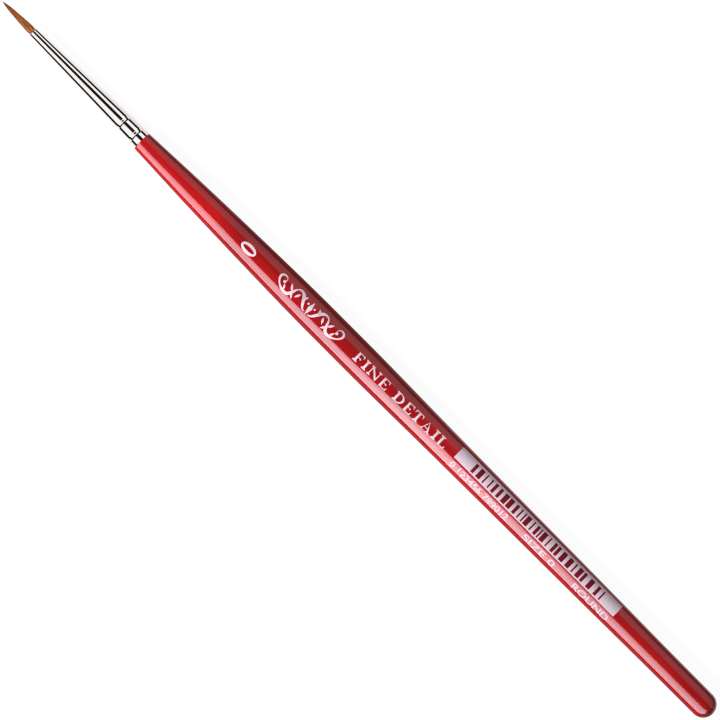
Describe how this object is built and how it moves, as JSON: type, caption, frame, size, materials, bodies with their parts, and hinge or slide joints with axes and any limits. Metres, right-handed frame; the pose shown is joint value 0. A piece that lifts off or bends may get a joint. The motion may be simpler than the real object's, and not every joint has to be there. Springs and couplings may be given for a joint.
{
  "type": "fine detail brush",
  "caption": "Fine detail brush: a pointed, flexible tuft in a crimped conical metal ferrule, on a slim round lacquered wooden handle that swells at the grip and ends in a dome.",
  "frame": {"origin": "on the brush's axis, in the middle of the grip, the short cylinder where the handle is thickest", "axes": "+X along the brush's axis from the point of the tuft to the end of the handle; +Z is square to it, and is the side that the printed marks face, up when the brush lies with its marks up"},
  "size_m": [0.1731, 0.006, 0.006],
  "materials": {
    "bare_wood": "matte",
    "red_lacquer": "gloss",
    "nickel_plate": "polished",
    "glue": "matte",
    "filament": "satin",
    "thread": "matte",
    "resin": "gloss",
    "print_ink": "satin"
  },
  "bodies": {
    "brush_body": {"handle": "bare_wood", "handle_lacquer": "red_lacquer", "ferrule": "nickel_plate", "tenon_glue": "glue", "tuft_root": "filament", "binding_thread": "thread", "resin_plug": "resin"},
    "tuft_heel": {"tuft_heel": "filament"},
    "tuft_belly": {"tuft_belly": "filament"},
    "tuft_shoulder": {"tuft_shoulder": "filament"},
    "tuft_point": {"tuft_point": "filament"}
  },
  "joints": [
    {"name": "heel_sweep", "type": "hinge", "parent": "brush_body", "child": "tuft_heel", "pos_m": [-0.07615, 0, 0], "axis": [0, 0, 1], "range_deg": [-24, 24], "stiffness_Nm_per_rad": 0.00005},
    {"name": "belly_lift", "type": "hinge", "parent": "tuft_heel", "child": "tuft_belly", "pos_m": [-0.0776, 0, 0], "axis": [0, 1, 0], "range_deg": [-24, 24], "stiffness_Nm_per_rad": 0.00002},
    {"name": "shoulder_sweep", "type": "hinge", "parent": "tuft_belly", "child": "tuft_shoulder", "pos_m": [-0.079, 0, 0], "axis": [0, 0, 1], "range_deg": [-26.4, 26.4], "stiffness_Nm_per_rad": 0.000005},
    {"name": "point_lift", "type": "hinge", "parent": "tuft_shoulder", "child": "tuft_point", "pos_m": [-0.08025, 0, 0], "axis": [0, 1, 0], "range_deg": [-26.4, 26.4], "stiffness_Nm_per_rad": 0.000001}
  ],
  "couplings": [
    {"joint": "shoulder_sweep", "follows": "heel_sweep", "ratio": 1.1},
    {"joint": "point_lift", "follows": "belly_lift", "ratio": 1.1}
  ]
}
